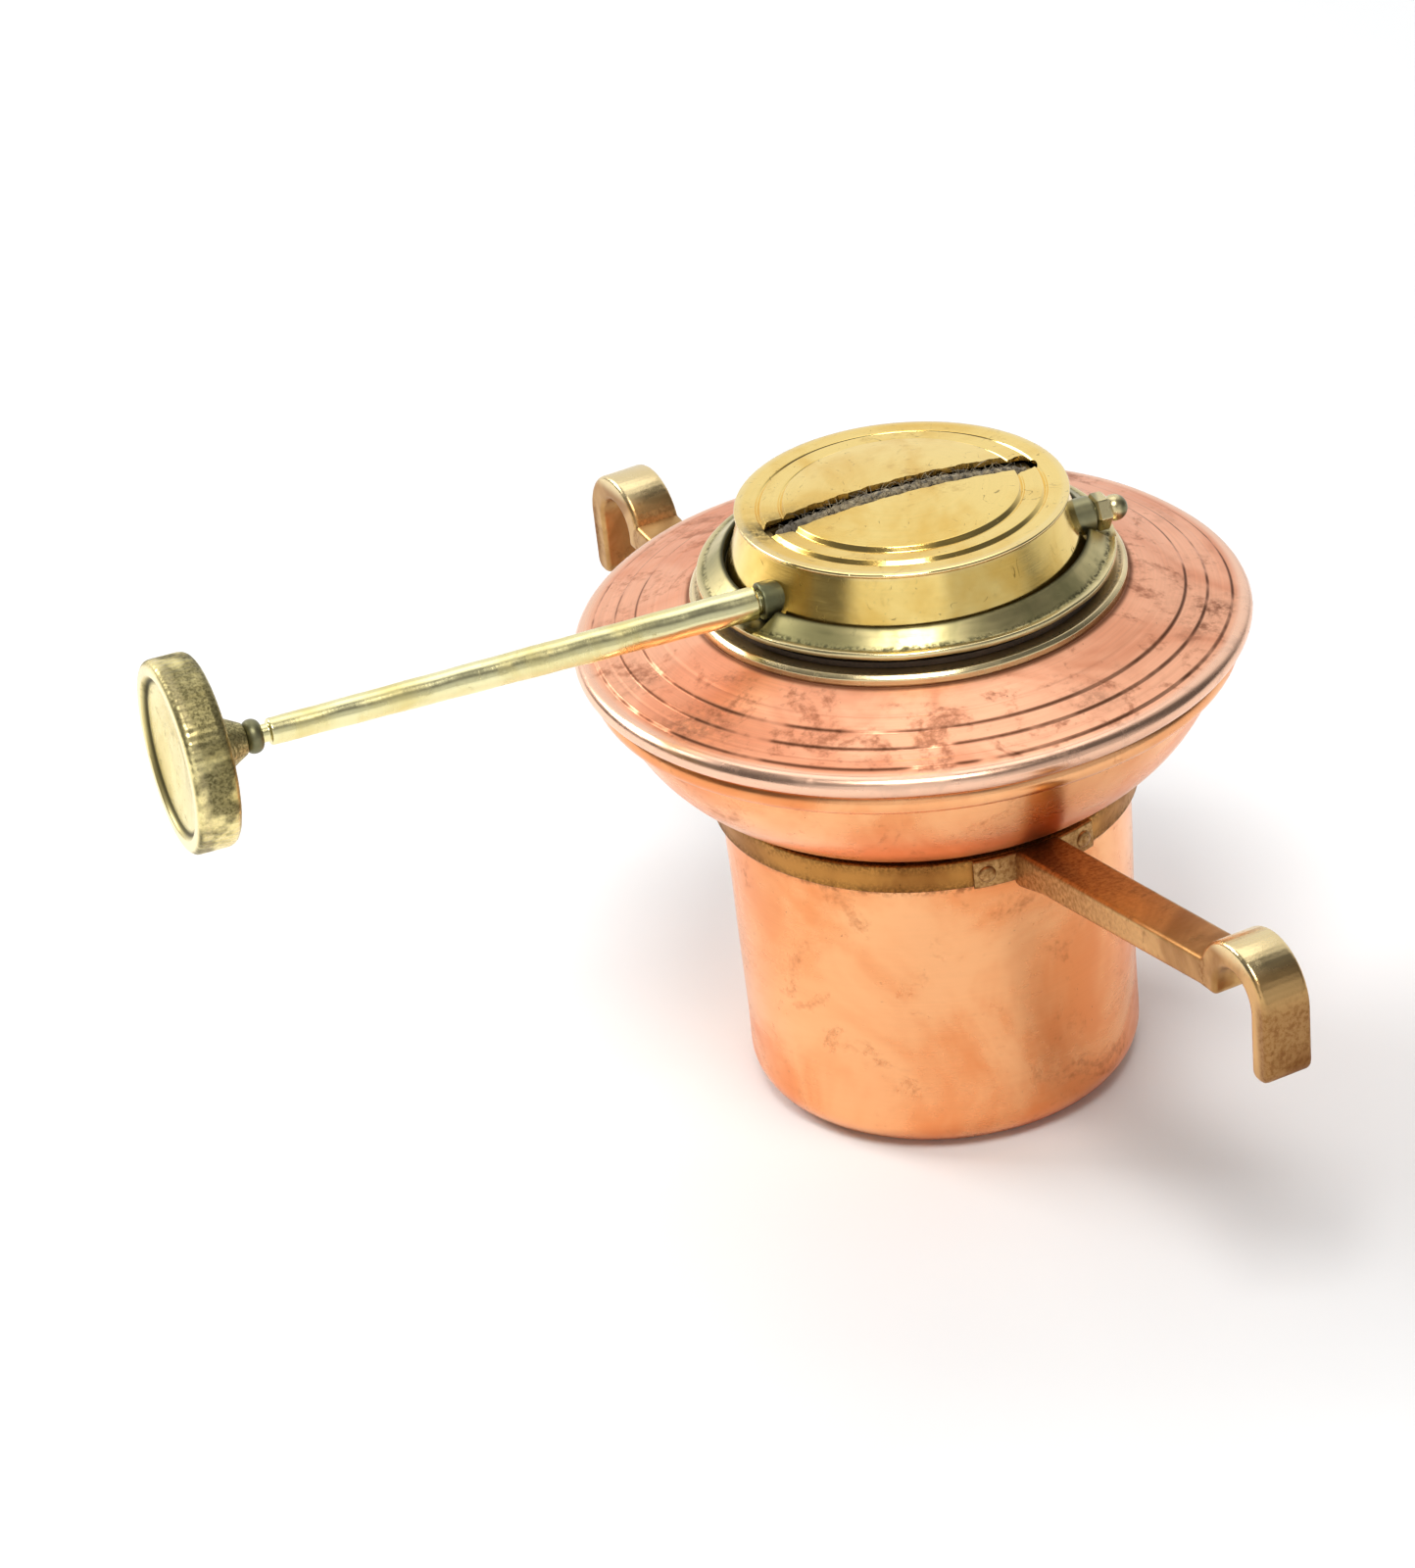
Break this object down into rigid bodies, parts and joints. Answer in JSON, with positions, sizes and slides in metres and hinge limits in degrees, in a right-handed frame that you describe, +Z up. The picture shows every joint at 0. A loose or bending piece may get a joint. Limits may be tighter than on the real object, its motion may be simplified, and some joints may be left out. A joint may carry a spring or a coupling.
{
  "type": "alcohol burner",
  "caption": "Copper spirit burner with two rail hooks, a lift-out brass burner head and a flat wick raised by a knob on a long control rod.",
  "frame": {"origin": "centre of the flat base of the font", "axes": "+Z up; the rails run along X and the hooked arms point along -Y and +Y; the wick spindle lies 7.5 degrees off X, with its control rod and knob towards -X"},
  "size_m": [0.1269, 0.1486, 0.0778],
  "materials": {
    "font_copper": "copper sheet, polished and mottled with tarnish",
    "top_copper": "copper sheet, satin, with fine spin lines",
    "band_brass": "dull brass with brown tarnish",
    "arm_brass": "dull brass, brighter on the hooks",
    "collar_brass": "pale brass with dark tarnish",
    "base_brass": "brass with a grey-green patina and a bright edge",
    "cap_brass": "polished yellow brass with fine scratches",
    "tube_brass": "dull brass",
    "rod_brass": "bright pale brass",
    "dark_brass": "brass with a dark green patina",
    "knob_brass": "brass with an olive patina and a bright rim",
    "washer_leather": "dark oiled leather",
    "wick_cotton": "woven cotton, charred at the top"
  },
  "bodies": {
    "font": {"font_cup": "font_copper", "font_shoulder": "font_copper", "font_top": "top_copper", "neck_band": "band_brass", "front_arm": "arm_brass", "back_arm": "arm_brass", "front_rivets": "arm_brass", "back_rivets": "arm_brass", "filler_collar": "collar_brass"},
    "burner_head": {"burner_base": "base_brass", "seal_washer": "washer_leather", "wick_tube": "tube_brass", "drum": "cap_brass", "rod_bush": "dark_brass", "nut_bush": "dark_brass"},
    "dome": {"dome": "cap_brass"},
    "spindle": {"spindle": "rod_brass", "star_wheels": "tube_brass", "control_rod": "rod_brass", "rod_ferrule": "dark_brass", "knob": "knob_brass", "ball_nut": "dark_brass"},
    "wick": {"wick": "wick_cotton"}
  },
  "joints": [
    {"name": "head_lift", "type": "slide", "parent": "font", "child": "burner_head", "axis": [0, 0, 1], "range_m": [0, 0.06]},
    {"name": "dome_lift", "type": "slide", "parent": "burner_head", "child": "dome", "axis": [0, 0, 1], "range_m": [0, 0.015]},
    {"name": "spindle_turn", "type": "hinge", "parent": "burner_head", "child": "spindle", "pos_m": [-0.00078, -0.00595, 0.06715], "axis": [0.9914, -0.1305, 0], "range_deg": [-120, 60]},
    {"name": "wick_rise", "type": "slide", "parent": "burner_head", "child": "wick", "axis": [0, 0, 1], "range_m": [-0.0085, 0.0043]}
  ],
  "couplings": [
    {"joint": "wick_rise", "follows": "spindle_turn", "m_per_rad": 0.004}
  ]
}
